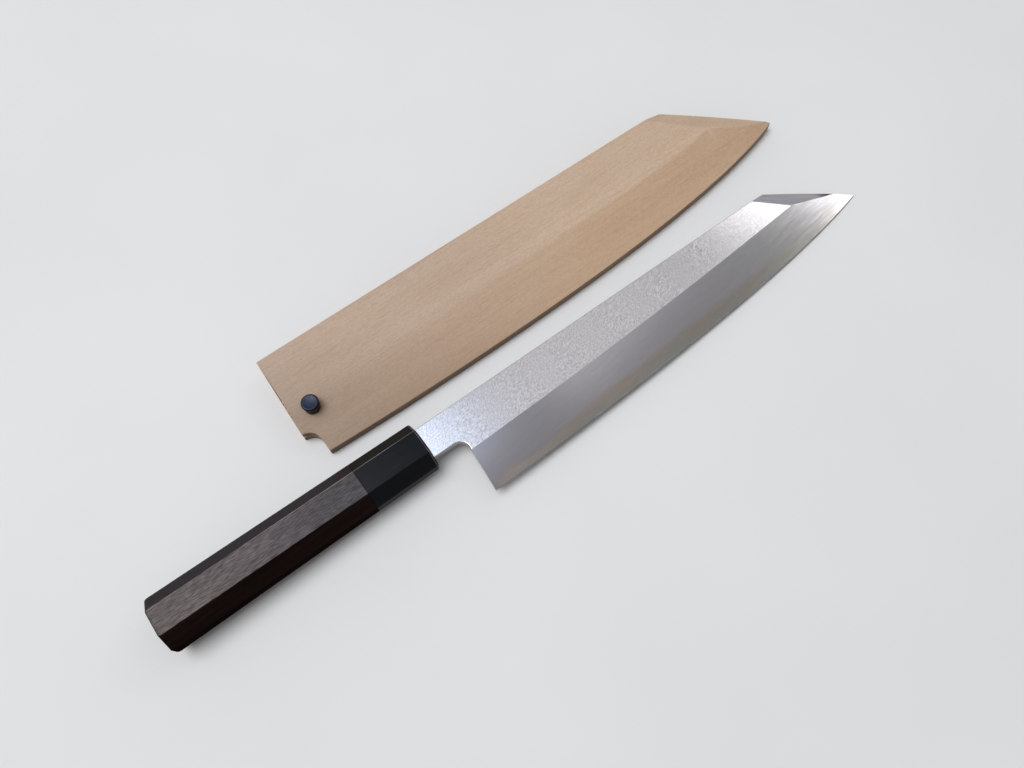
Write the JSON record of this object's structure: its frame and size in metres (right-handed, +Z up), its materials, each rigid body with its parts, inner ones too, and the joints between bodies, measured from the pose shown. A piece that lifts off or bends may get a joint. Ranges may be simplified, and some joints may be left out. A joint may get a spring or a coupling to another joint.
{
  "type": "kitchen knife with sheath",
  "caption": "Single-bevel kitchen knife with an angled point and an octagonal wooden handle, lying beside its fitted wooden sheath, which a round pin locks.",
  "frame": {"origin": "on the table under the middle of the knife and sheath together", "axes": "+X along the blade from handle to tip, +Y from the blade's edge towards the sheath, +Z up"},
  "size_m": [0.4276, 0.1262, 0.0238],
  "materials": {
    "soft_iron": "satin, brushed across the blade on the flat and hazy on the bevel",
    "hard_steel": "fine polish, slightly darker than the iron above it",
    "horn": "polished black horn",
    "dark_wood": "dark open-pored wood, lightly waxed",
    "dowel_wood": "plain pale wood",
    "resin": "set resin",
    "sheath_wood": "bare pale fine-grained wood, planed",
    "pin_wood": "polished black wood"
  },
  "bodies": {
    "knife": {"blade_iron": "soft_iron", "edge_steel": "hard_steel", "ferrule": "horn", "handle_grip": "dark_wood", "handle_dowel": "dowel_wood", "tang_bedding": "resin"},
    "sheath": {"sheath_face": "sheath_wood", "sheath_back": "sheath_wood"},
    "pin": {"sheath_pin": "pin_wood"}
  },
  "joints": [
    {"name": "sheath_draw", "type": "slide", "parent": "knife", "child": "sheath", "axis": [1, -0.0049, 0], "range_m": [0, 0.286]},
    {"name": "pin_pull", "type": "slide", "parent": "sheath", "child": "pin", "axis": [0, 0, 1], "range_m": [0, 0.0115]}
  ]
}
